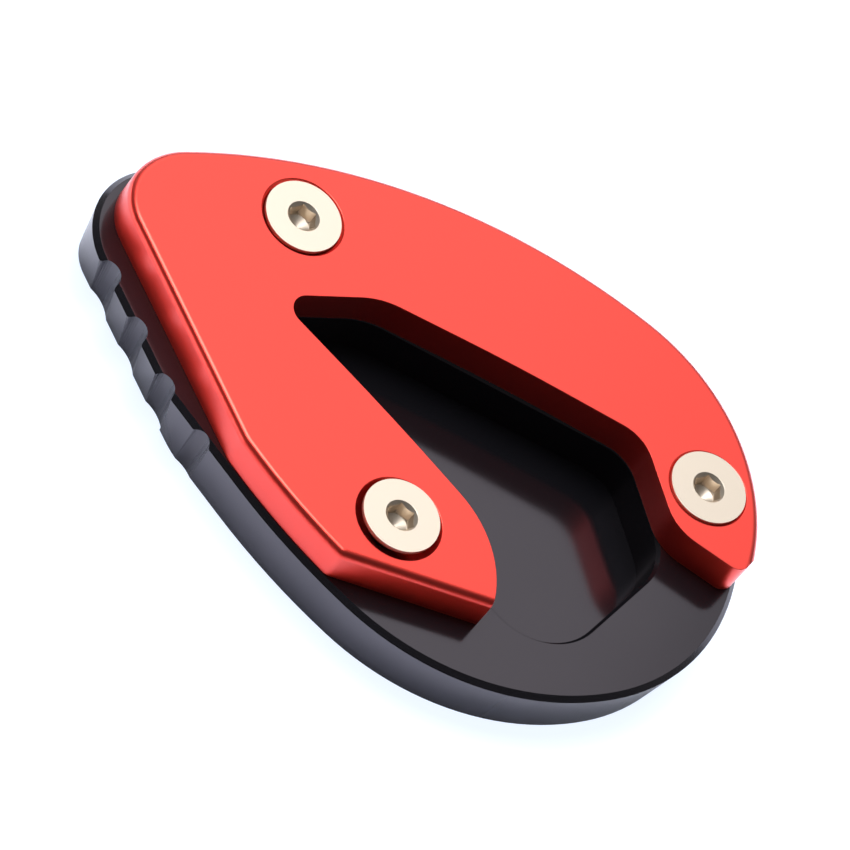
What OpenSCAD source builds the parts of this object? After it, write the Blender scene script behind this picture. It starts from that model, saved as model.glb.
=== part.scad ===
// Kickstand foot enlarger: a drafted base plate with a pocket for the stand's foot,
// a clamp plate whose two arms reach over the foot, and three countersunk screws.
// Plan positions are measured from the centre of the base plate's tip arc, and
// angles of an outline are those of its outward normal, counterclockwise from +X.

/* [Base plate] */
// Thickness of the base plate
base_t = 10; // [9:0.5:14]
// Inward draft of its side wall towards the ground face, in degrees
wall_draft = 8.5; // [6:0.5:10]
// Chamfer round its upper edge
base_chamfer = 0.8; // [0.4:0.1:1.2]
// Radius of the pointed end
tip_r = 12.95; // [12:0.1:14]
// Length of the straight scalloped side
side_len = 19; // [17:0.5:21]
// Direction of the scalloped side's outward normal
side_a = 240.3; // [239:0.1:242]
// Radius of the blend between the scalloped side and the front edge
shoulder_r = 20; // [10:1:30]
// Radius of the long front edge
front_r = 108; // [100:1:120]
// Radius where the front edge turns towards the broad end
nose_r = 42.2; // [40:0.2:45]
// Radius of the broad end
heel_r = 34; // [33:0.2:36]
// Radius of the broad end beside the upper arm
rear_turn_r = 38; // [36:0.2:40]
// Radius where the broad end turns into the long rear edge
rear_corner_r = 33; // [31:0.2:35]

/* [Scalloped edge] */
// Depth of each finger scallop in the side, at the foot of the upper chamfer
scallop_depths = [2, 1.85, 1.7, 0.85];
// Distance from one scallop to the next along the edge
scallop_pitch = 9.5; // [9:0.1:10]
// Distance of the first scallop from the start of the straight side
scallop_first = 2.1; // [1.5:0.1:3]
// Radius of a scallop at the upper face
scallop_r = 2.65; // [2.4:0.05:3]
// Radius of a scallop at the ground face, where it has flattened out
scallop_low_r = 7.5; // [6:0.5:9]
// Share of a scallop's depth that is left at the ground face
scallop_fade = 0.3; // [0.2:0.05:0.5]
// Radius of the rounded corners at a scallop's mouth
scallop_lip_r = 0.8; // [0.4:0.1:1.2]
// Draft of the scalloped side, in degrees
land_slope = 17.2; // [14:0.2:20]

/* [Foot pocket] */
// Depth of the pocket that takes the stand's foot
pocket_depth = 7.2; // [5:0.1:8]
// Chamfer round the pocket's rim
pocket_chamfer = 0.5; // [0.2:0.1:0.8]
// How far the pocket's rear wall lies behind the edge of the V opening
pocket_margin = 0.25; // [0.1:0.05:1]
// Direction of the pocket wall at the broad end
pocket_end_dir = 82.5; // [80:0.5:90]
// Distance of that wall past the V opening's hook, along the hook's edge
pocket_end_x = 2.7; // [2:0.1:4]
// Distance from the V opening's front edge to the pocket's front wall
pocket_under = 4.6; // [3:0.2:5.2]
// Radius of the pocket's rear corner
pocket_rear_r = 9; // [7:0.5:10]
// Radius of the pocket's front corner
pocket_front_r = 10; // [8:0.5:11]
// Radius of the pocket's pointed end
pocket_tip_r = 6; // [4:0.5:7]

/* [Clamp plate] */
// Thickness of the clamp plate
clamp_t = 6; // [5:0.5:8]
// Radius along its outer upper edge
clamp_round = 1.25; // [0.8:0.05:1.5]
// Radius of its pointed end towards the rear
clamp_tip_r = 12.65; // [12:0.05:13]
// Radius of its pointed end towards the front
clamp_tip_low_r = 9.2; // [8:0.1:10]
// Length of its straight side
clamp_side_len = 36.5; // [35:0.1:38]
// Radius of its long front edge
clamp_front_r = 110.5; // [105:0.5:120]
// Radius of its rear edge
clamp_rear_r = 96.1; // [94:0.1:98]
// Radius of its upper arm's outer edge
clamp_arm_r = 34.4; // [33:0.2:36]

/* [V opening] */
// Length of the opening's front edge
vee_front_len = 49.2; // [47:0.2:51]
// Length of the slanted edge at its point
vee_point_len = 17.3; // [16:0.1:19]
// Length of the opening's rear edge
vee_rear_len = 43.9; // [42:0.1:46]
// Length of the hook's edge at the end of the upper arm
vee_hook_len = 15.3; // [14:0.1:16]
// Radius at the point of the opening
vee_tip_r = 2.6; // [2:0.1:3.5]
// Radius of the lower arm's curved edge
arm_curve_r = 18.3; // [16:0.1:20]
// How far the long edges bow towards the rear
vee_bow = 0.3; // [0.1:0.05:0.5]

/* [Screws] */
// Thread diameter of the countersunk screws
thread_d = 6; // [5:0.5:6]
// Diameter of their heads
head_d = 12; // [11.5:0.1:12.4]
// Height of the upright land round a head
head_land = 0.65; // [0.5:0.05:0.8]
// Overall length of a screw
screw_len = 14; // [13:0.5:15]
// Width across the flats of the hexagon socket
hex_af = 4; // [3.5:0.1:4.5]
// Depth of the hexagon socket down to its drill point
hex_depth = 2.7; // [2.2:0.1:3]
// Chamfer at the socket's mouth, measured at its flats
hex_chamfer = 0.55; // [0.4:0.05:0.7]
// Room round the tip screw's head in its countersink
tip_room = 0.2; // [0.05:0.05:0.4]
// Room round the lower arm screw's head in its countersink
lower_room = 1.2; // [0.05:0.05:1.4]
// Room round the upper arm screw's head in its countersink
upper_room = 0.05; // [0.05:0.05:0.4]
// Room between a screw and the hole that it passes through
hole_room = 0.6; // [0.4:0.1:0.8]
// Room between a thread and its tapped hole
thread_room = 0.1; // [0.06:0.02:0.2]
// Height of the tip screw's head above the clamp plate
tip_proud = 0.25; // [0.1:0.05:0.4]
// Height of the lower arm screw's head above the clamp plate
lower_proud = 1; // [0.1:0.05:1.1]
// Height of the upper arm screw's head above the clamp plate
upper_proud = 0.35; // [0.1:0.05:0.4]

/* [Hidden] */
$fn = 64;
// Overlap of a cutter past the face that it cuts, and the cut that it takes along an edge
past = 1;
bite = 0.03;
// Largest chord error of an outline's arcs
chord = 0.012;
// Reach of a cutter beyond the plates, and its straight run past an arm's end
away = 30;
lead = 5;
// Eases a bowed edge into the straights beside it
bow_ease = 20;
// Point angle of the countersunk heads, and of the drill points in their sockets
cone_a = 90;
point_a = 120;
full_turn = 360;

// Screw positions
tip_screw = [11.3, 14.3];
lower_screw = [49.95, -17.66];
upper_screw = [81.65, 24.4];

// Base plate outline: normals at which one arc passes into the next
tip_a = 140.2;
tip_low_a = 190;
shoulder_a = 253.8;
nose_a = 266.2;
heel_a = 327.3;
rear_turn_a = full_turn + 8;
rear_corner_a = full_turn + 45;
rear_a = full_turn + 92;

// Clamp plate outline: centre of the tip arc and the normals between its arcs
clamp_at = [1.55, 1.64];
clamp_tip_a = 138.5;
clamp_left_a = 180;
clamp_front_a = 252.2;
clamp_corner_a = 262.85;
clamp_end_a = 297.3;
clamp_arm_a = full_turn + 10;
clamp_rear_a = full_turn + 92.5;
clamp_shoulder_r = 6;
clamp_corner_r = 2;
clamp_hidden_r = 5;

// V opening: its point and the directions of its edges
vee_at = [15.6, -0.42];
vee_front_dir = -9.5;
vee_point_dir = 46.15;
vee_rear_dir = 16;
vee_hook_dir = -39;
vee_end_dir = 7.1;
arm_end_dir = -68;
vee_shoulder_r = 12.5;
vee_hook_r = 7;
lobe_r = 8.4;
arm_end_r = 2.2;
// Where the upper arm's rounded end leaves through its outer edge, and in which direction
arm_end_a = 21;
arm_exit_dir = 86;

// Vectors
function unit(a) = [cos(a), sin(a)];
function ahead(a) = unit(a + 90);
function cross2(a, b) = a.x * b.y - a.y * b.x;
function heading(v) = atan2(v.y, v.x);
// Turn from one direction to the next, between -180 and 180
function turn(a, b) = let (d = b - a) d - full_turn * round(d / full_turn);
// Where the line through p along a meets the line through q along b
function meet(p, a, q, b) = p + unit(a) * cross2(q - p, unit(b)) / cross2(unit(a), unit(b));
// Steps that keep an arc within the chord error
function steps(r, sweep) =
    max(1, ceil(abs(sweep) / (2 * acos(1 - min(0.5, chord / max(abs(r), chord))))));
function total(v, i = 0) = i == len(v) ? [0, 0] : v[i] + total(v, i + 1);

// Outlines made of tangent arcs. A row is [normal at its start, normal at its end,
// radius, straight run before the arc], and a parallel outline is the same arcs
// about the same centres with other radii. The steps of an arc are those of like.
function run_of(row) = row[3] * ahead(row[0]);
function bend_of(row) = row[2] * (unit(row[1]) - unit(row[0]));
function travel(rows, n) = total([for (i = [0 : 1 : n - 1]) run_of(rows[i]) + bend_of(rows[i])]);
function arcs(rows, at, off = 0, like = undef) = [
    for (i = [0 : len(rows) - 1])
        let (
            row = rows[i],
            start = at + rows[0][2] * unit(rows[0][0]),
            centre = start + travel(rows, i) + run_of(row) - row[2] * unit(row[0]),
            n = steps((is_undef(like) ? rows : like)[i][2], row[1] - row[0])
        )
        for (k = [0 : n - 1 + (rows[(i + 1) % len(rows)][3] > 0 ? 1 : 0)])
            centre + (row[2] + off) * unit(row[0] + (row[1] - row[0]) * k / n)
];

// Polygon with rounded corners, moved outwards by off. A row is [corner, radius].
function rounded(rows, off = 0) = [
    for (i = [0 : len(rows) - 1])
        let (
            p = rows[i][0],
            r = rows[i][1],
            a = heading(p - rows[(i + len(rows) - 1) % len(rows)][0]),
            b = heading(rows[(i + 1) % len(rows)][0] - p),
            bend = turn(a, b),
            side = sign(bend),
            start = p - unit(a) * r * tan(abs(bend) / 2),
            centre = start + side * r * ahead(a),
            n = steps(r, bend)
        )
        for (k = [0 : r > 0 ? n : 0])
            centre + (r + side * off) * unit(a - side * 90 + bend * k / n)
];

// Solid between rings of as many points each, from the lowest ring to the highest
module loft(rings, heights) {
    n = len(rings[0]);
    last = len(rings) - 1;
    polyhedron(
        points = [for (i = [0 : last]) for (p = rings[i]) [p.x, p.y, heights[i]]],
        faces = concat(
            [[for (k = [0 : n - 1]) k]],
            [
                for (i = [0 : last - 1])
                    for (k = [0 : n - 1])
                        let (a = i * n + k, b = i * n + (k + 1) % n)
                        each [[a, a + n, b], [b, a + n, b + n]]
            ],
            [[for (k = [n - 1 : -1 : 0]) last * n + k]]
        )
    );
}

// Base plate outline, moved outwards by off, with the radius of the tip beside the
// scalloped side, the straights before the shoulder and the front arc, and the rear radius
function base_rows(low_r, side, front, rear, off) = [
    [tip_a, tip_low_a, tip_r + off, 0],
    [tip_low_a, side_a, low_r, 0],
    [side_a, shoulder_a, shoulder_r + off, side],
    [shoulder_a, nose_a, front_r + off, front],
    [nose_a, heel_a, nose_r + off, 0],
    [heel_a, rear_turn_a, heel_r + off, 0],
    [rear_turn_a, rear_corner_a, rear_turn_r + off, 0],
    [rear_corner_a, rear_a, rear_corner_r + off, 0],
    [rear_a, full_turn + tip_a, rear + off, 0]
];
// Upper outline: the front straight and the rear radius close it
upper_open = travel(base_rows(tip_r, side_len, 0, 0, 0), 9);
rear_bend = unit(tip_a) - unit(rear_a);
front_run = cross2(upper_open, rear_bend) / cross2(rear_bend, ahead(shoulder_a));
rear_r = cross2(upper_open, ahead(shoulder_a)) / cross2(ahead(shoulder_a), rear_bend);
base_outline = base_rows(tip_r, side_len, front_run, rear_r, 0);
// Outline at the ground face: every wall leans in by inset and the scalloped side by more,
// for which the tip tightens beside it. Both straights close it.
edge_z = base_t - base_chamfer;
inset = edge_z * tan(wall_draft);
side_extra = edge_z * tan(land_slope) - inset;
tip_low_r = tip_r - inset - side_extra / (1 - cos(side_a - tip_low_a));
low_open = travel(base_rows(tip_low_r, 0, 0, rear_r, -inset), 9);
low_side = cross2(low_open, ahead(shoulder_a)) / cross2(ahead(shoulder_a), ahead(side_a));
low_front = cross2(low_open, ahead(side_a)) / cross2(ahead(side_a), ahead(shoulder_a));
low_outline = base_rows(tip_low_r, low_side, low_front, rear_r, -inset);

// Clamp plate outline without the V opening, closed by two straights that the opening removes
function clamp_rows(end_run, arm_run) = [
    [clamp_tip_a, clamp_left_a, clamp_tip_r, 0],
    [clamp_left_a, side_a, clamp_tip_low_r, 0],
    [side_a, clamp_front_a, clamp_shoulder_r, clamp_side_len],
    [clamp_front_a, clamp_corner_a, clamp_front_r, 0],
    [clamp_corner_a, clamp_end_a, clamp_corner_r, 0],
    [clamp_end_a, clamp_arm_a, clamp_hidden_r, end_run],
    [clamp_arm_a, clamp_rear_a, clamp_arm_r, arm_run],
    [clamp_rear_a, full_turn + clamp_tip_a, clamp_rear_r, 0]
];
clamp_open = travel(clamp_rows(0, 0), 8);
clamp_closing = [
    cross2(clamp_open, ahead(clamp_arm_a)) / cross2(ahead(clamp_arm_a), ahead(clamp_end_a)),
    cross2(clamp_open, ahead(clamp_end_a)) / cross2(ahead(clamp_end_a), ahead(clamp_arm_a))
];
clamp_outline = clamp_rows(clamp_closing.x, clamp_closing.y);
clamp_start = clamp_at + clamp_tip_r * unit(clamp_tip_a);
// A point on the lower arm's end face, and the centre of the upper arm's outer arc
arm_face = clamp_start + travel(clamp_outline, 5);
arm_centre = clamp_start + travel(clamp_outline, 6) + run_of(clamp_outline[6])
    - clamp_arm_r * unit(clamp_arm_a);

// Corners of the V opening
vee_curve = vee_at + vee_front_len * unit(vee_front_dir);
vee_shoulder = vee_at + vee_point_len * unit(vee_point_dir);
vee_top = vee_shoulder + vee_rear_len * unit(vee_rear_dir);
vee_hook = vee_top + vee_hook_len * unit(vee_hook_dir);
arm_tip = meet(vee_curve, arm_end_dir, arm_face, clamp_end_a - 90);
arm_exit = arm_centre + clamp_arm_r * unit(arm_end_a);
arm_far = meet(vee_hook, vee_end_dir, arm_exit, arm_exit_dir);
// Middle corner of a long edge that bows towards the rear, and its radius
function bow_at(p, q) = (p + q) / 2 + 2 * vee_bow * ahead(heading(q - p));
function bow_r(p, q) = norm(q - p) * norm(q - p) / (vee_bow * bow_ease);
vee_rows = [
    [arm_tip + lead * unit(arm_end_dir), 0],
    [[vee_hook.x + away, arm_tip.y - away], 0],
    [[vee_hook.x + away, arm_exit.y + lead], 0],
    [arm_exit + lead * unit(arm_exit_dir), 0],
    [arm_far, arm_end_r],
    [vee_hook, lobe_r],
    [vee_top, vee_hook_r],
    [bow_at(vee_shoulder, vee_top), bow_r(vee_shoulder, vee_top)],
    [vee_shoulder, vee_shoulder_r],
    [vee_at, vee_tip_r],
    [bow_at(vee_at, vee_curve), bow_r(vee_at, vee_curve)],
    [vee_curve, arm_curve_r]
];

// Corners of the foot pocket. Its rear follows the V opening.
rear_shift = pocket_margin * ahead(vee_rear_dir);
point_shift = pocket_margin * ahead(vee_point_dir);
hook_shift = pocket_margin * ahead(vee_hook_dir);
front_shift = -pocket_under * ahead(vee_front_dir);
pocket_end_at = vee_hook + pocket_end_x * unit(vee_hook_dir);
pocket_rows = [
    [meet(vee_at + front_shift, vee_front_dir, vee_at + point_shift, vee_point_dir), pocket_tip_r],
    [meet(vee_at + front_shift, vee_front_dir, pocket_end_at, pocket_end_dir), pocket_front_r],
    [meet(vee_hook + hook_shift, vee_hook_dir, pocket_end_at, pocket_end_dir), pocket_rear_r],
    [meet(vee_hook + hook_shift, vee_hook_dir, vee_top + rear_shift, vee_rear_dir),
        vee_hook_r + pocket_margin],
    [meet(vee_at + point_shift, vee_point_dir, vee_top + rear_shift, vee_rear_dir),
        vee_shoulder_r + pocket_margin]
];

// Straight side and what lies along the outline from its start
side_start = tip_r * unit(side_a);
shoulder_len = shoulder_r * (shoulder_a - side_a) * PI / 180;
shoulder_start = side_start + side_len * ahead(side_a);
shoulder_end = shoulder_start + bend_of(base_outline[2]);
// Place and outward normal at a distance along the outline, as [point, normal]
function along(s) =
    s < side_len ? [side_start + s * ahead(side_a), side_a]
    : s < side_len + shoulder_len ?
        let (a = side_a + (s - side_len) / shoulder_r * 180 / PI)
        [shoulder_start + shoulder_r * (unit(a) - unit(side_a)), a]
    : [shoulder_end + (s - side_len - shoulder_len) * ahead(shoulder_a), shoulder_a];

// Plan of a scallop's cutter, with +X out of the side: a valley of radius r that lies
// depth below the land, and a rounded lip on each hand where it meets the land
function scallop_plan(depth, r, land) =
    let (
        lip = scallop_lip_r,
        deep = depth + bite,
        half = sqrt(2 * (r + lip) * deep - deep * deep),
        a = atan2(half, r + lip - deep),
        middle = [r - land - depth, 0],
        lip_x = bite - land - lip
    )
    concat(
        [[lead, -half], [lead, half]],
        [for (k = [0 : 4]) [lip_x, half] + lip * unit(-a * k / 4)],
        [for (k = [1 : 15]) middle + r * unit(180 - a + a * k / 8)],
        [for (k = [4 : -1 : 0]) [lip_x, -half] + lip * unit(a * k / 4)]
    );

// Moves the part so that its outline's middle stands on the origin
outline_x = [for (p = arcs(base_outline, [0, 0])) p.x];
outline_y = [for (p = arcs(base_outline, [0, 0])) p.y];
middle_at = [max(outline_x) + min(outline_x), max(outline_y) + min(outline_y)] / 2;
module placed() {
    translate([-middle_at.x, -middle_at.y, 0]) children();
}

// One finger scallop, cut along a slanted land
module scallop(depth, slope) {
    function land(z) = (edge_z - z) * tan(slope);
    function fade(z) = depth * (1 - (1 - scallop_fade) * (edge_z - z) / edge_z);
    function bend(z) = scallop_low_r + (scallop_r - scallop_low_r) * z / base_t;
    heights = [-past, base_t + past];
    loft([for (z = heights) scallop_plan(fade(z), bend(z), land(z))], heights);
}

// The recess that takes the stand's foot, with its chamfered rim
module foot_pocket() {
    wall = rounded(pocket_rows);
    loft(
        [wall, wall, rounded(pocket_rows, pocket_chamfer + past)],
        [base_t - pocket_depth, base_t - pocket_chamfer, base_t + past]
    );
}

module base_plate() {
    color("#2b2a2e") placed() difference() {
        loft(
            [
                arcs(low_outline, [0, 0], 0, base_outline),
                arcs(base_outline, [0, 0]),
                arcs(base_outline, [0, 0], -base_chamfer)
            ],
            [0, edge_z, base_t]
        );
        for (i = [0 : len(scallop_depths) - 1]) {
            place = along(scallop_first + i * scallop_pitch);
            translate([place[0].x, place[0].y, 0]) rotate([0, 0, place[1]])
                scallop(scallop_depths[i], place[1] < shoulder_a ? land_slope : wall_draft);
        }
        foot_pocket();
        for (at = [tip_screw, lower_screw, upper_screw])
            translate([at.x, at.y, -past]) cylinder(h = base_t + 2 * past, d = thread_d);
    }
}

// Countersink and clearance hole for one screw, from the clamp plate's upper face down,
// with room round the widest part of a head that stands proud
module sink(proud, room) {
    hole_r = (thread_d + hole_room) / 2;
    slope = tan(cone_a / 2);
    mouth_r = head_d / 2 + room + (head_land - proud) * slope;
    depth = (mouth_r - hole_r) / slope;
    translate([0, 0, -clamp_t - past]) cylinder(h = clamp_t + 2 * past, r = hole_r);
    translate([0, 0, -depth])
        cylinder(h = depth + past, r1 = hole_r, r2 = mouth_r + past * slope);
}

module clamp_plate() {
    top = base_t + clamp_t;
    bends = [for (k = [1 : 6]) 90 * k / 6];
    color("#d8343a") placed() difference() {
        loft(
            concat(
                [arcs(clamp_outline, clamp_at), arcs(clamp_outline, clamp_at)],
                [for (a = bends) arcs(clamp_outline, clamp_at, clamp_round * (cos(a) - 1))]
            ),
            concat(
                [base_t, top - clamp_round],
                [for (a = bends) top + clamp_round * (sin(a) - 1)]
            )
        );
        translate([0, 0, base_t - past])
            linear_extrude(height = clamp_t + 2 * past) polygon(rounded(vee_rows));
        translate([tip_screw.x, tip_screw.y, top]) sink(tip_proud, tip_room);
        translate([lower_screw.x, lower_screw.y, top]) sink(lower_proud, lower_room);
        translate([upper_screw.x, upper_screw.y, top]) sink(upper_proud, upper_room);
    }
}

// Countersunk socket screw whose head stands proud of the clamp plate
module screw(at, proud) {
    shank_r = (thread_d - thread_room) / 2;
    slope = tan(cone_a / 2);
    cone_h = (head_d / 2 - shank_r) / slope;
    end_h = thread_d / 10;
    point_r = hex_af / 2 - bite;
    point_h = point_r / tan(point_a / 2);
    mouth_r = hex_af / 2 + hex_chamfer;
    color("#d9d4cb") placed() translate([at.x, at.y, base_t + clamp_t + proud]) difference() {
        union() {
            translate([0, 0, -head_land]) cylinder(h = head_land, d = head_d);
            translate([0, 0, -head_land - cone_h]) cylinder(h = cone_h, r1 = shank_r, d2 = head_d);
            translate([0, 0, end_h - screw_len])
                cylinder(h = screw_len - head_land - end_h, r = shank_r);
            translate([0, 0, -screw_len]) cylinder(h = end_h, r1 = shank_r - end_h, r2 = shank_r);
        }
        translate([0, 0, -hex_depth])
            cylinder(h = hex_depth + past, r = hex_af / sqrt(3), $fn = 6);
        translate([0, 0, -hex_depth - point_h]) cylinder(h = point_h + bite, r1 = 0, r2 = point_r);
        translate([0, 0, point_r - mouth_r])
            cylinder(h = mouth_r - point_r + past, r1 = point_r, r2 = mouth_r + past);
    }
}

module screw_tip() { screw(tip_screw, tip_proud); }
module screw_lower_arm() { screw(lower_screw, lower_proud); }
module screw_upper_arm() { screw(upper_screw, upper_proud); }

base_plate();
clamp_plate();
screw_tip();
screw_lower_arm();
screw_upper_arm();
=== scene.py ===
"""Looks of a kickstand foot enlarger: two anodised plates and three screws."""

import logging
import math
from dataclasses import dataclass, field
from enum import Enum

import bmesh
import bpy
from mathutils import Matrix, Vector

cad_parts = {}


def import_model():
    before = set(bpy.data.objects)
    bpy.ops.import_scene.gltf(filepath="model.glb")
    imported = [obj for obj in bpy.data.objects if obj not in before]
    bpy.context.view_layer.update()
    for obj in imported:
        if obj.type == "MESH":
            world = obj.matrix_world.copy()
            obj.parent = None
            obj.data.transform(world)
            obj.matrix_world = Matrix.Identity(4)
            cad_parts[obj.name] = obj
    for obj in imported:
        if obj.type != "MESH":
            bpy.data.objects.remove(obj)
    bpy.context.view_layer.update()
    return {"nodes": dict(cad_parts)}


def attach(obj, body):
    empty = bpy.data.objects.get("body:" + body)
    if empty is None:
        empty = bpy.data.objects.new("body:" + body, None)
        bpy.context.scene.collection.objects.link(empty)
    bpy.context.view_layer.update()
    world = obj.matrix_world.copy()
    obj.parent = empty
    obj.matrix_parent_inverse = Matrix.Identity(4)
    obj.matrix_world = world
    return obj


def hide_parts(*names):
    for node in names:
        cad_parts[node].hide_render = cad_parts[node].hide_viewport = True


LOG = logging.getLogger("foot_enlarger")
MM = 0.001
IMAGE_WIDTH_PX = 850

# Numbers of the Mix node's sockets: the two colours, their result, and the two floats.
COLOUR_A, COLOUR_B, COLOUR_RESULT = 6, 7, 2
FLOAT_A, FLOAT_B = 2, 3


class Node(Enum):
    """CAD nodes that are dressed."""

    BASE = "base_plate"
    CLAMP = "clamp_plate"
    SCREW_TIP = "screw_tip"
    SCREW_LOWER = "screw_lower_arm"
    SCREW_UPPER = "screw_upper_arm"


class Slot(Enum):
    """Material slots of the record."""

    BASE = "base_plate"
    CLAMP = "clamp_plate"
    SCREW = "screw"


def linear(code: str, level: float = 1.0) -> tuple[float, float, float, float]:
    """Turns an sRGB hex colour to a linear one.

    Args:
        code: Six hexadecimal digits, red first.
        level: Share of the linear colour to keep, 1 at most in each channel.

    Returns:
        Red, green, blue and an alpha of 1 for a shader socket.
    """
    parts = [int(code[i : i + 2], 16) / 255 for i in (0, 2, 4)]
    lin = [p / 12.92 if p <= 0.04045 else ((p + 0.055) / 1.055) ** 2.4 for p in parts]
    red, green, blue = (min(1.0, value * level) for value in lin)
    return (red, green, blue, 1.0)


def add(
    tree: bpy.types.NodeTree,
    kind: str,
    inputs: dict[str | int, object] | None = None,
    **settings: object,
) -> bpy.types.Node:
    """Adds a node with its settings, values and links.

    Args:
        tree: Node tree that takes the node.
        kind: Blender's name of the node's type.
        inputs: Socket name or number to a value, or to the socket that feeds it.
        **settings: Attributes of the node.

    Returns:
        The new node.
    """
    node = tree.nodes.new(kind)
    for name, value in settings.items():
        setattr(node, name, value)
    for key, value in (inputs or {}).items():
        if isinstance(value, bpy.types.NodeSocket):
            tree.links.new(value, node.inputs[key])
        else:
            node.inputs[key].default_value = value
    return node


def new_material(name: str) -> tuple[bpy.types.Material, bpy.types.NodeTree]:
    """Makes an empty node material.

    Args:
        name: Name of the finish.

    Returns:
        The material and its node tree.
    """
    material = bpy.data.materials.new(name)
    material.use_nodes = True
    material.node_tree.nodes.clear()
    return material, material.node_tree


@dataclass(frozen=True)
class AnodisedPlate:
    """Machined aluminium plate, bead blasted, anodised and dyed.

    A clear dye lets the metal through, which gives the tinted, satin reflection, and
    the oxide over it adds a weak, colourless one. A black dye hides the metal, so the
    shader has a dark body there with the oxide's reflection alone.
    """

    name: str
    colour: str
    wall_painted_light_colour: str
    metallic: float
    roughness: float
    wall_roughness: float
    ior: float
    mirror_tint: str
    oxide_ior: float
    oxide_weight: float
    oxide_roughness: float
    # Dents of the glass beads, drawn wider than the real ones so that they show.
    dent_mm: float = 0.22
    dent_depth_mm: float = 0.02
    dent_bump: float = 0.04
    # Slow change of the dye and of the polish over a plate.
    cloud_mm: float = 18.0
    cloud_low: float = 0.3
    cloud_high: float = 0.7
    cloud_dye: float = 0.06
    cloud_polish: float = 0.02
    # Upward part of the normal up to which a surface has the wall's roughness, and from
    # which it has the face's.
    wall_until: float = 0.45
    face_from: float = 0.8
    # The same for the wall's colour, painted light from the floor, which the walls that
    # lean outwards and the ground face take.
    leaning_until: float = -0.12
    plumb_from: float = -0.02

    def material(self) -> bpy.types.Material:
        """Builds the finish.

        Returns:
            Its material.
        """
        material, tree = new_material(self.name)
        place = add(tree, "ShaderNodeTexCoord")
        dents = add(
            tree,
            "ShaderNodeTexNoise",
            {
                "Vector": place.outputs["Object"],
                "Scale": 1 / (self.dent_mm * MM),
                "Detail": 2.0,
                "Roughness": 0.6,
            },
        )
        cloud = add(
            tree,
            "ShaderNodeTexNoise",
            {
                "Vector": place.outputs["Object"],
                "Scale": 1 / (self.cloud_mm * MM),
                "Detail": 3.0,
            },
        )
        polish = add(
            tree,
            "ShaderNodeMapRange",
            {
                "Value": cloud.outputs["Fac"],
                "From Min": self.cloud_low,
                "From Max": self.cloud_high,
                "To Min": self.roughness - self.cloud_polish,
                "To Max": self.roughness + self.cloud_polish,
            },
        )
        # The cutter leaves the walls rougher than the faces.
        upward = add(
            tree, "ShaderNodeSeparateXYZ", {"Vector": place.outputs["Normal"]}
        )
        rough = add(
            tree,
            "ShaderNodeMapRange",
            {
                "Value": upward.outputs["Z"],
                "From Min": self.wall_until,
                "From Max": self.face_from,
                "To Min": self.wall_roughness,
                "To Max": polish.outputs["Result"],
            },
        )
        # Painted light: the walls that lean outwards, and the ground face, take the
        # lighter wall colour, which stands in for the floor's light on them.
        wall_light_mask = add(
            tree,
            "ShaderNodeMapRange",
            {
                "Value": upward.outputs["Z"],
                "From Min": self.leaning_until,
                "From Max": self.plumb_from,
            },
        )
        face_dye = add(
            tree,
            "ShaderNodeMix",
            {
                "Factor": cloud.outputs["Fac"],
                COLOUR_A: linear(self.colour, 1 - self.cloud_dye),
                COLOUR_B: linear(self.colour, 1 + self.cloud_dye),
            },
            data_type="RGBA",
        )
        # Painted light: the walls that lean outwards take the lighter wall colour in
        # place of the face's dye.
        dye = add(
            tree,
            "ShaderNodeMix",
            {
                "Factor": wall_light_mask.outputs["Result"],
                COLOUR_A: linear(self.wall_painted_light_colour),
                COLOUR_B: face_dye.outputs[COLOUR_RESULT],
            },
            data_type="RGBA",
        )
        bump = add(
            tree,
            "ShaderNodeBump",
            {
                "Height": dents.outputs["Fac"],
                "Strength": self.dent_bump,
                "Distance": self.dent_depth_mm * MM,
            },
        )
        shader = add(
            tree,
            "ShaderNodeBsdfPrincipled",
            {
                "Base Color": dye.outputs[COLOUR_RESULT],
                "Metallic": self.metallic,
                "Roughness": rough.outputs["Result"],
                "IOR": self.ior,
                "Specular Tint": linear(self.mirror_tint),
                "Coat Weight": self.oxide_weight,
                "Coat IOR": self.oxide_ior,
                "Coat Roughness": self.oxide_roughness,
                "Normal": bump.outputs["Normal"],
            },
        )
        add(tree, "ShaderNodeOutputMaterial", {"Surface": shader.outputs[0]})
        return material


@dataclass(frozen=True)
class NickelSteel:
    """Cold-headed steel under nickel plating: warm, pale and satin."""

    name: str
    colour: str
    roughness: float
    metallic: float
    # Grain of the plated surface, drawn coarser than it is so that it shows.
    grain_mm: float = 0.35
    grain_depth_mm: float = 0.02
    grain_bump: float = 0.05

    def material(self) -> bpy.types.Material:
        """Builds the finish.

        Returns:
            Its material.
        """
        material, tree = new_material(self.name)
        place = add(tree, "ShaderNodeTexCoord")
        grain = add(
            tree,
            "ShaderNodeTexNoise",
            {
                "Vector": place.outputs["Object"],
                "Scale": 1 / (self.grain_mm * MM),
                "Detail": 3.0,
            },
        )
        bump = add(
            tree,
            "ShaderNodeBump",
            {
                "Height": grain.outputs["Fac"],
                "Strength": self.grain_bump,
                "Distance": self.grain_depth_mm * MM,
            },
        )
        shader = add(
            tree,
            "ShaderNodeBsdfPrincipled",
            {
                "Base Color": linear(self.colour),
                "Metallic": self.metallic,
                "Roughness": self.roughness,
                "Normal": bump.outputs["Normal"],
            },
        )
        add(tree, "ShaderNodeOutputMaterial", {"Surface": shader.outputs[0]})
        return material


# Black anodised aluminium: smooth faces that mirror softly, and milled walls that lean
# outwards painted a lighter grey, as painted light from the floor.
BLACK_ANODISED = AnodisedPlate(
    name="black_anodised_aluminium",
    colour="0d0d10",
    wall_painted_light_colour="404048",
    metallic=0.0,
    roughness=0.13,
    wall_roughness=0.2,
    ior=1.58,
    mirror_tint="fdf0ff",
    oxide_ior=1.6,
    oxide_weight=0.0,
    oxide_roughness=0.15,
)
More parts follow.
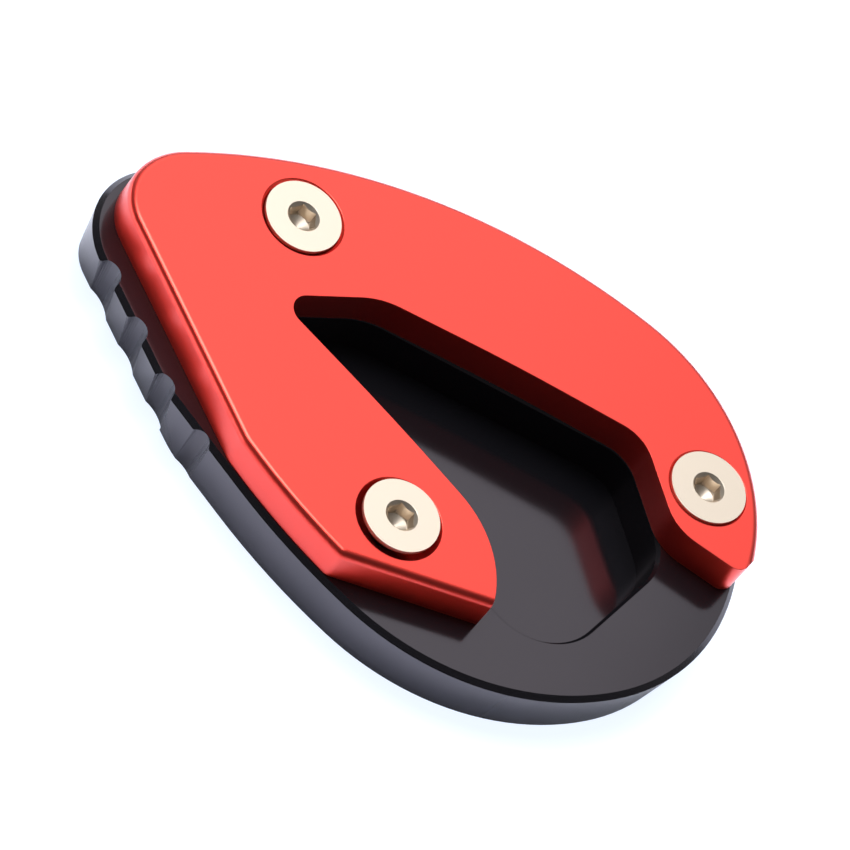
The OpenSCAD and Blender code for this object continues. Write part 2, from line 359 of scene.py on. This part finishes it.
# Red anodised aluminium: satin metal through a clear dye, with duller walls.
RED_ANODISED = AnodisedPlate(
    name="red_anodised_aluminium",
    colour="f0301d",
    wall_painted_light_colour="f0301d",
    metallic=1.0,
    roughness=0.3,
    wall_roughness=0.46,
    ior=1.5,
    mirror_tint="ffffff",
    oxide_ior=1.55,
    oxide_weight=1.0,
    oxide_roughness=0.3,
)
# Nickel-plated steel, turned on the head and the countersink.
NICKEL = NickelSteel(
    name="nickel_plated_steel", colour="e6d9c9", roughness=0.4, metallic=1.0
)
# The same steel inside the socket, rougher as the punch left it, and paler as painted
# light in the socket.
SOCKET_PAINTED_LIGHT = NickelSteel(
    name="socket_painted_light", colour="eee8df", roughness=0.6, metallic=0.3
)


@dataclass
class MachinedPart:
    """A CAD node shown with smooth curved walls and broken edges."""

    node: Node
    piece: str
    slot: Slot
    finish: AnodisedPlate | NickelSteel
    edge_mm: float
    merge_mm: float = 0.002
    crease_deg: float = 28.0
    edge_segments: int = 2
    edge_profile: float = 0.5
    flat_weight: int = 60

    def build(self, nodes: dict[str, bpy.types.Object]) -> bpy.types.Object:
        """Builds the dressed piece in the node's place.

        Args:
            nodes: The frame's CAD nodes by name.

        Returns:
            The new piece.
        """
        mesh = bpy.data.meshes.new(self.piece)
        bm = bmesh.new()
        bm.from_mesh(nodes[self.node.value].data)
        self.merge(bm)
        self.paint(bm)
        self.crease(bm)
        bm.to_mesh(mesh)
        bm.free()
        mesh.materials.clear()
        for finish in self.finishes():
            mesh.materials.append(finish.material())
        piece = bpy.data.objects.new(self.piece, mesh)
        bpy.context.scene.collection.objects.link(piece)
        self.break_edges(piece)
        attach(piece, "root")
        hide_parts(self.node.value)
        LOG.info("%s: %d faces", self.piece, len(mesh.polygons))
        return piece

    def finishes(self) -> list[AnodisedPlate | NickelSteel]:
        """Lists the finishes in the order of the mesh's slots."""
        return [self.finish]

    def merge(self, bm: bmesh.types.BMesh) -> None:
        """Joins the node's loose triangles.

        Args:
            bm: The piece's mesh.
        """
        bmesh.ops.remove_doubles(bm, verts=bm.verts, dist=self.merge_mm * MM)

    def paint(self, bm: bmesh.types.BMesh) -> None:
        """Shades every face smooth and gives it the first finish.

        Args:
            bm: The piece's mesh.
        """
        for face in bm.faces:
            face.smooth = True
            face.material_index = 0

    def crease(self, bm: bmesh.types.BMesh) -> None:
        """Keeps the corners sharp.

        Args:
            bm: The piece's mesh.
        """
        limit = math.radians(self.crease_deg)
        for edge in bm.edges:
            edge.smooth = edge.calc_face_angle(math.pi) < limit

    def break_edges(self, piece: bpy.types.Object) -> None:
        """Rounds the creased edges a little and keeps the flats flat.

        Args:
            piece: The piece to finish.
        """
        bevel = piece.modifiers.new("broken_edges", "BEVEL")
        bevel.affect = "EDGES"
        bevel.width = self.edge_mm * MM
        bevel.segments = self.edge_segments
        bevel.profile = self.edge_profile
        bevel.material = -1
        bevel.limit_method = "ANGLE"
        bevel.angle_limit = math.radians(self.crease_deg)
        weighted = piece.modifiers.new("flat_faces", "WEIGHTED_NORMAL")
        weighted.keep_sharp = True
        weighted.weight = self.flat_weight


@dataclass
class Plate(MachinedPart):
    """A milled plate, whose flat faces become single faces."""

    flat_deg: float = 0.05

    def merge(self, bm: bmesh.types.BMesh) -> None:
        """Joins the triangles, and those of a flat face to one.

        Args:
            bm: The plate's mesh.
        """
        super().merge(bm)
        bmesh.ops.dissolve_limit(
            bm,
            angle_limit=math.radians(self.flat_deg),
            verts=bm.verts,
            edges=bm.edges,
        )


@dataclass
class SocketScrew(MachinedPart):
    """A countersunk socket screw with a second finish inside the socket.

    Its triangles stay, because a single face over the head would close the socket.
    """

    # The socket's paler finish is painted light.
    inside: NickelSteel = SOCKET_PAINTED_LIGHT
    socket_radius_mm: float = 2.56
    socket_depth_mm: float = 4.0
    head_face_mm: float = 0.01

    def finishes(self) -> list[AnodisedPlate | NickelSteel]:
        """Lists the screw's own finish and the socket's."""
        return [self.finish, self.inside]

    def paint(self, bm: bmesh.types.BMesh) -> None:
        """Gives the faces inside the socket the second finish.

        Args:
            bm: The screw's mesh.
        """
        super().paint(bm)
        low = Vector([min(v.co[i] for v in bm.verts) for i in range(3)])
        high = Vector([max(v.co[i] for v in bm.verts) for i in range(3)])
        axis = (low + high) / 2
        for face in bm.faces:
            at = face.calc_center_median()
            depth = high.z - at.z
            in_reach = (at - axis).xy.length < self.socket_radius_mm * MM
            in_socket = self.head_face_mm * MM < depth < self.socket_depth_mm * MM
            face.material_index = int(in_reach and in_socket)


@dataclass(frozen=True)
class Lamp:
    """A rectangular softbox that faces the part."""

    name: str
    width_m: float
    height_m: float
    at: tuple[float, float, float]
    watts: float
    mirrored: bool = True

    def build(self) -> None:
        """Hangs the lamp."""
        light = bpy.data.lights.new(self.name, "AREA")
        light.shape = "RECTANGLE"
        light.size, light.size_y = self.width_m, self.height_m
        light.energy = self.watts
        rig = bpy.data.objects.new(self.name, light)
        rig.location = self.at
        rig.visible_glossy = self.mirrored
        rig.rotation_mode = "QUATERNION"
        rig.rotation_quaternion = (-Vector(self.at)).to_track_quat("-Z", "Y")
        bpy.context.scene.collection.objects.link(rig)


LAMPS = (
    # Draws the bright line along the clamp plate's rounded edge.
    Lamp("overhead", 0.34, 0.34, (-0.22, 0.03, 0.72), 3.1),
    # Mirrored by the upper faces, more of it towards the pointed end.
    Lamp("rear_panel", 0.39, 0.39, (-0.13, 0.324, 0.38), 0.32),
    # Lies on the floor past the pointed end and lights the walls on the scalloped side.
    Lamp("front_strip", 0.8, 0.04, (-0.54, -0.18, 0.018), 1.0),
    # Lights the floor and isn't mirrored by the part.
    Lamp("floor_fill", 0.6, 0.6, (-0.1, 0.32, 1.2), 17.0, mirrored=False),
)


@dataclass
class Studio:
    """Pale floor, dim room and the lamps."""

    floor_m: float = 4.0
    # Keeps the floor clear of the ground face.
    floor_gap_mm: float = 0.02
    paper: str = "e2e6f4"
    # Share of the paper's own glow to the camera and in mirrors. The rest is lit paper,
    # which has the part's shadow.
    camera_glow: float = 0.8
    mirrored_glow: float = 0.12
    glow_colour: str = "e7f0ff"
    glow_strength: float = 1.35
    # Brightness of the room, of its horizon and of the backdrop behind the part.
    surroundings: float = 0.10
    horizon: float = 0.15
    horizon_top: float = 0.35
    backdrop: float = 0.95
    backdrop_towards: Vector = field(
        default_factory=lambda: Vector((-0.2, 0.66, 0.68))
    )
    backdrop_spread: float = 5.0

    def build(self) -> None:
        """Builds the floor, the lamps and the world."""
        self.floor()
        for lamp in LAMPS:
            lamp.build()
        self.world()

    def floor(self) -> None:
        """Lays matt paper that the camera sees as white, with the part's shadow."""
        mesh = bpy.data.meshes.new("floor")
        bm = bmesh.new()
        bmesh.ops.create_grid(bm, x_segments=1, y_segments=1, size=self.floor_m / 2)
        bm.to_mesh(mesh)
        bm.free()
        mesh.materials.append(self.sweep_paper())
        floor = bpy.data.objects.new("floor", mesh)
        floor.location.z = -self.floor_gap_mm * MM
        bpy.context.scene.collection.objects.link(floor)

    def sweep_paper(self) -> bpy.types.Material:
        """Builds the white sweep paper, which isn't seen from below.

        Returns:
            Its material.
        """
        material, tree = new_material("white_sweep_paper")
        seen = add(tree, "ShaderNodeLightPath")
        lit = add(tree, "ShaderNodeBsdfDiffuse", {"Color": linear(self.paper)})
        glow = add(
            tree,
            "ShaderNodeEmission",
            {"Color": linear(self.glow_colour), "Strength": self.glow_strength},
        )
        mirrored = add(
            tree,
            "ShaderNodeMath",
            {0: seen.outputs["Is Glossy Ray"], 1: self.mirrored_glow},
            operation="MULTIPLY",
        )
        share = add(
            tree,
            "ShaderNodeMath",
            {
                0: seen.outputs["Is Camera Ray"],
                1: self.camera_glow,
                2: mirrored.outputs[0],
            },
            operation="MULTIPLY_ADD",
        )
        upper = add(
            tree,
            "ShaderNodeMixShader",
            {0: share.outputs[0], 1: lit.outputs[0], 2: glow.outputs[0]},
        )
        side = add(tree, "ShaderNodeNewGeometry")
        clear = add(tree, "ShaderNodeBsdfTransparent")
        sheet = add(
            tree,
            "ShaderNodeMixShader",
            {0: side.outputs["Backfacing"], 1: upper.outputs[0], 2: clear.outputs[0]},
        )
        add(tree, "ShaderNodeOutputMaterial", {"Surface": sheet.outputs[0]})
        return material

    def world(self) -> None:
        """Surrounds the part with a dim room and a backdrop, white to the camera."""
        world = bpy.data.worlds.new("studio")
        world.use_nodes = True
        tree = world.node_tree
        tree.nodes.clear()
        bpy.context.scene.world = world
        place = add(tree, "ShaderNodeTexCoord")
        along = add(
            tree,
            "ShaderNodeVectorMath",
            {0: place.outputs["Generated"], 1: self.backdrop_towards.normalized()},
            operation="DOT_PRODUCT",
        )
        front = add(
            tree,
            "ShaderNodeMath",
            {0: along.outputs["Value"], 1: 0.0},
            operation="MAXIMUM",
        )
        lobe = add(
            tree,
            "ShaderNodeMath",
            {0: front.outputs[0], 1: self.backdrop_spread},
            operation="POWER",
        )
        upper = add(
            tree,
            "ShaderNodeMath",
            {0: lobe.outputs[0], 1: self.backdrop, 2: self.surroundings},
            operation="MULTIPLY_ADD",
        )
        height = add(
            tree, "ShaderNodeSeparateXYZ", {"Vector": place.outputs["Generated"]}
        )
        horizon = add(
            tree,
            "ShaderNodeMapRange",
            {
                "Value": height.outputs["Z"],
                "From Min": 0.0,
                "From Max": self.horizon_top,
                "To Min": self.horizon,
                "To Max": 0.0,
            },
        )
        room = add(
            tree,
            "ShaderNodeMath",
            {0: upper.outputs[0], 1: horizon.outputs["Result"]},
            operation="ADD",
        )
        seen = add(tree, "ShaderNodeLightPath")
        strength = add(
            tree,
            "ShaderNodeMix",
            {0: seen.outputs["Is Camera Ray"], FLOAT_A: room.outputs[0], FLOAT_B: 1.0},
            data_type="FLOAT",
        )
        back = add(
            tree,
            "ShaderNodeBackground",
            {"Color": linear("ffffff"), "Strength": strength.outputs[0]},
        )
        add(tree, "ShaderNodeOutputWorld", {"Surface": back.outputs[0]})


@dataclass
class Viewpoint:
    """The photograph's camera: a long lens, looking down and turned about its axis."""

    aim_mm: Vector = field(default_factory=lambda: Vector((2.654, -7.017, 16.0)))
    elevation_deg: float = 49.57
    roll_deg: float = 40.02
    distance_m: float = 1.2935
    focal_px: float = 9000.0
    sensor_mm: float = 36.0
    clip_m: tuple[float, float] = (0.1, 20.0)

    def build(self) -> None:
        """Places the camera and makes it the scene's."""
        rise, roll = math.radians(self.elevation_deg), math.radians(self.roll_deg)
        ahead = Vector((0, math.cos(rise), -math.sin(rise)))
        level = Vector((1, 0, 0))
        down = Vector((0, -math.sin(rise), -math.cos(rise)))
        right = level * math.cos(roll) - down * math.sin(roll)
        up = -(level * math.sin(roll) + down * math.cos(roll))
        data = bpy.data.cameras.new("camera")
        data.sensor_width = self.sensor_mm
        data.lens = self.sensor_mm * self.focal_px / IMAGE_WIDTH_PX
        data.clip_start, data.clip_end = self.clip_m
        camera = bpy.data.objects.new("camera", data)
        turn = Matrix((right, up, -ahead)).transposed().to_4x4()
        camera.matrix_world = (
            Matrix.Translation(self.aim_mm * MM - ahead * self.distance_m) @ turn
        )
        bpy.context.scene.collection.objects.link(camera)
        bpy.context.scene.camera = camera


# From the ground up. The plates' edges are broken by 0.06 mm, as by deburring, and the
# screws' by 0.16 mm, as by turning.
PARTS = (
    Plate(Node.BASE, "black_base", Slot.BASE, BLACK_ANODISED, 0.06),
    Plate(Node.CLAMP, "red_clamp", Slot.CLAMP, RED_ANODISED, 0.06),
    SocketScrew(Node.SCREW_TIP, "tip_screw", Slot.SCREW, NICKEL, 0.16),
    SocketScrew(Node.SCREW_LOWER, "lower_arm_screw", Slot.SCREW, NICKEL, 0.16),
    SocketScrew(Node.SCREW_UPPER, "upper_arm_screw", Slot.SCREW, NICKEL, 0.16),
)


def main() -> None:
    """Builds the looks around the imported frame."""
    logging.basicConfig(level=logging.INFO)
    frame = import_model()
    bpy.context.scene.view_settings.view_transform = "Standard"
    Viewpoint().build()
    Studio().build()
    for part in PARTS:
        part.build(frame["nodes"])


if __name__ == "__main__":
    main()
